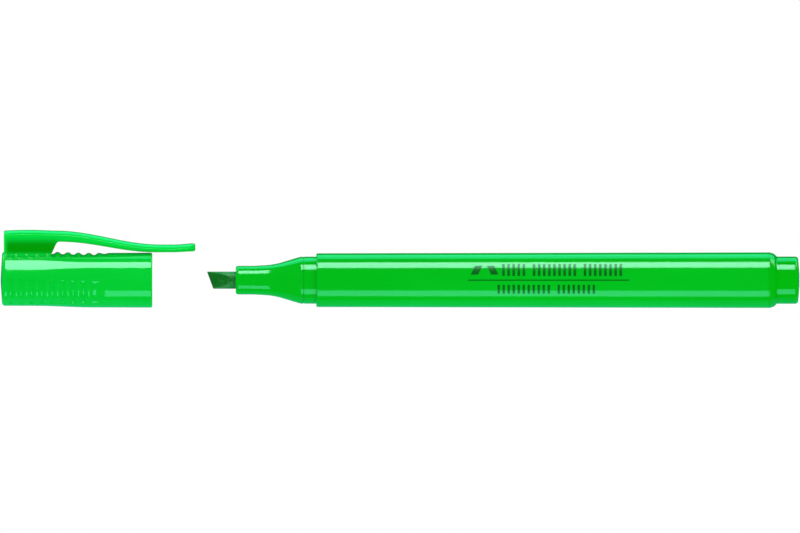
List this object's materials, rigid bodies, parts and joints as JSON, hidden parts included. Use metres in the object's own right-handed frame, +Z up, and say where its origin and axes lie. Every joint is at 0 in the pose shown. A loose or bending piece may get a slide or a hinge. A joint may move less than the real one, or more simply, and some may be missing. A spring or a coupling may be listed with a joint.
{
  "type": "capped highlighter pen",
  "caption": "Slim capped highlighter with a chisel nib, its clip cap pulled off and lying in line with the barrel.",
  "frame": {"origin": "under the middle of the whole object, on the plane that the barrel lies on", "axes": "+X along the pen from the cap to the end plug, +Z up through the clip, +Y away from the viewer of the clip's side"},
  "size_m": [0.1724, 0.012, 0.0169],
  "materials": {
    "body_plastic": "glossy moulded polypropylene, fluorescent green",
    "cap_plastic": "glossy moulded polypropylene, fluorescent green",
    "seal_plastic": "soft natural polyethylene",
    "nib_fibre": "bonded polyester fibre soaked in green ink",
    "reservoir_fibre": "bonded fibre soaked in green ink",
    "film": "clear polypropylene film"
  },
  "bodies": {
    "pen": {"barrel": "body_plastic", "front_section": "body_plastic", "nib": "nib_fibre", "ink_reservoir": "reservoir_fibre", "reservoir_film": "film", "end_plug": "body_plastic"},
    "cap_seal": {"inner_cap": "seal_plastic"},
    "cap": {"cap_shell": "cap_plastic"},
    "clip": {"pocket_clip": "cap_plastic"}
  },
  "joints": [
    {"name": "cap_pull", "type": "slide", "parent": "pen", "child": "cap_seal", "axis": [1, 0, 0], "range_m": [0, 0.03535]},
    {"name": "cap_turn", "type": "hinge", "parent": "cap_seal", "child": "cap", "pos_m": [-0.0725, 0, 0.006], "axis": [1, 0, 0], "continuous": true},
    {"name": "clip_flex", "type": "hinge", "parent": "cap", "child": "clip", "pos_m": [-0.0741, 0, 0.0167], "axis": [0, -1, 0], "range_deg": [0, 6], "stiffness_Nm_per_rad": 0.5}
  ]
}
